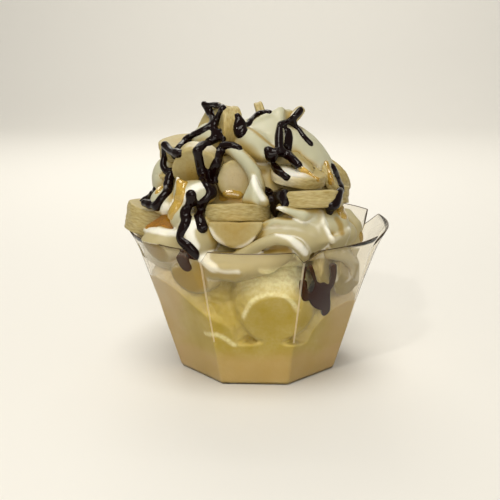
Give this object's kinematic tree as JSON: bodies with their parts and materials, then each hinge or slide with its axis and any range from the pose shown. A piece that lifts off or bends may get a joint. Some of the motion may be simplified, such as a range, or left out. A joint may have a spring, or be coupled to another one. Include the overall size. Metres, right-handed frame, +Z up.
{
  "type": "banana sundae",
  "caption": "Soft ice cream in a clear eight-panel cup, topped with piped whipped cream, banana slices and runs of sauce.",
  "frame": {"origin": "centre of the cup's flat underside, where the sundae stands", "axes": "+Z up along the cup's axis, -Y the front, where one flat panel of the cup and the two flat banana slices face"},
  "size_m": [0.1144, 0.1144, 0.1158],
  "materials": {
    "clear_plastic": "thin clear thermoformed plastic, glossy",
    "ice_cream": "melting vanilla ice cream, soft sheen",
    "whipped_cream": "piped whipped cream with runs of chocolate sauce, soft sheen",
    "banana": "moist cut banana"
  },
  "bodies": {
    "root": {"banana_slice_back_left": "banana", "banana_slice_back_middle": "banana", "banana_slice_back_right": "banana", "banana_slice_back_rim": "banana", "banana_slice_back_tip": "banana", "banana_slice_big_left": "banana", "banana_slice_front": "banana", "banana_slice_half": "banana", "banana_slice_leaning": "banana", "banana_slice_left_low": "banana", "banana_slice_right": "banana", "banana_slice_right_edge": "banana", "banana_slice_right_upper": "banana", "banana_slice_rim_left": "banana", "banana_slice_tilted": "banana", "banana_slice_top_left": "banana", "banana_slice_top_middle": "banana", "banana_slice_top_right": "banana", "banana_slice_upper_left": "banana", "banana_slice_wall_front": "banana", "banana_slice_wall_right": "banana", "banana_slice_wedge": "banana", "cup": "clear_plastic", "ice_cream": "ice_cream", "whipped_cream": "whipped_cream"}
  },
  "joints": []
}
